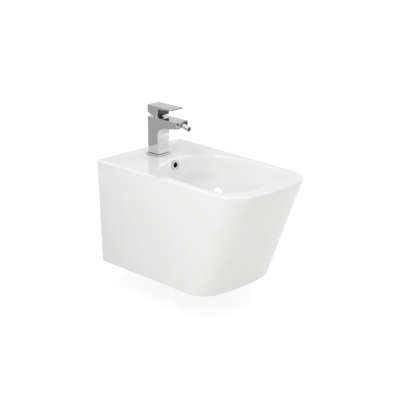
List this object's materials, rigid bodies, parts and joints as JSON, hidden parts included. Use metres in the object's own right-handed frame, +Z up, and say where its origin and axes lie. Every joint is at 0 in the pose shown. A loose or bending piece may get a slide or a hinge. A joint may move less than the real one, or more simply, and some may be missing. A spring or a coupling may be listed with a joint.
{
  "type": "wall-hung bidet",
  "caption": "Wall-hung bidet: sloped-front glazed ceramic bowl with overflow, square single-lever mixer with swivel nozzle, and a press-to-close waste.",
  "frame": {"origin": "on the wall, midway between the two wall fixing holes in the back of the ceramic body", "axes": "+X to the right for someone facing the wall, +Y into the wall, +Z up; the bowl projects along -Y"},
  "size_m": [0.3396, 0.5614, 0.475],
  "materials": {
    "glaze": "gloss white glaze",
    "chrome": "polished chrome plate",
    "brass": "plain machined brass",
    "steel": "zinc plated",
    "black_rubber": "matt rubber",
    "white_plastic": "moulded plastic",
    "grey_plastic": "moulded plastic",
    "disc_ceramic": "lapped technical ceramic",
    "index_plastic": "gloss plastic, red half for hot and blue half for cold"
  },
  "bodies": {
    "fixed_body": {"ceramic_body": "glaze", "overflow_ring": "chrome", "overflow_ring_seal": "black_rubber", "wall_fixing_sleeves": "white_plastic", "wall_fixing_washers": "steel", "wall_fixing_nuts": "steel", "waste_body": "chrome", "waste_upper_seal": "black_rubber", "waste_lower_seal": "black_rubber", "waste_locknut": "brass", "plug_housing": "white_plastic", "plug_spring": "steel", "tap_plate_gasket": "black_rubber", "tap_base_plate": "chrome", "tap_foot_seal": "black_rubber", "tap_body": "chrome", "tap_stud": "steel", "horseshoe_gasket": "black_rubber", "horseshoe_washer": "steel", "tap_stud_nut": "brass", "cartridge_base_seals": "black_rubber", "cartridge_base": "white_plastic", "fixed_disc": "disc_ceramic", "cartridge_housing": "white_plastic", "cartridge_nut": "brass", "cartridge_dome": "chrome", "swivel_ring_seal": "black_rubber", "swivel_collar": "chrome"},
    "turning_rotor": {"cartridge_rotor": "grey_plastic", "spindle_pin": "steel"},
    "lever": {"lever_handle": "chrome", "lever_spindle": "brass", "lever_grub_screw": "steel", "index_button": "index_plastic"},
    "disc_slider": {"moving_disc": "disc_ceramic", "disc_carrier": "grey_plastic"},
    "nozzle_seat": {"ball_seat_ring": "white_plastic"},
    "nozzle_body": {"nozzle": "chrome", "aerator_insert": "grey_plastic"},
    "plug": {"plug_slider": "grey_plastic", "plug_cap": "chrome", "plug_seal": "black_rubber"}
  },
  "joints": [
    {"name": "lever_turn", "type": "hinge", "parent": "fixed_body", "child": "turning_rotor", "pos_m": [0, -0.082, 0.1897], "axis": [0, 0, 1], "range_deg": [-50, 50]},
    {"name": "lever_lift", "type": "hinge", "parent": "turning_rotor", "child": "lever", "pos_m": [0, -0.082, 0.1897], "axis": [-1, 0, 0], "range_deg": [0, 25]},
    {"name": "disc_slide", "type": "slide", "parent": "turning_rotor", "child": "disc_slider", "axis": [0, -1, 0], "range_m": [0, 0.0031]},
    {"name": "nozzle_roll", "type": "hinge", "parent": "fixed_body", "child": "nozzle_seat", "pos_m": [0, -0.178, 0.1925], "axis": [0, -1, 0], "continuous": true},
    {"name": "nozzle_tilt", "type": "hinge", "parent": "nozzle_seat", "child": "nozzle_body", "pos_m": [0, -0.178, 0.1925], "axis": [1, 0, 0], "range_deg": [-30, 6]},
    {"name": "plug_press", "type": "slide", "parent": "fixed_body", "child": "plug", "axis": [0, 0, 1], "range_m": [-0.008, 0], "stiffness_N_per_m": 300, "springref_m": 0.006, "deforming": ["plug_spring"]}
  ],
  "couplings": [
    {"joint": "disc_slide", "follows": "lever_lift", "m_per_rad": 0.0070705}
  ]
}
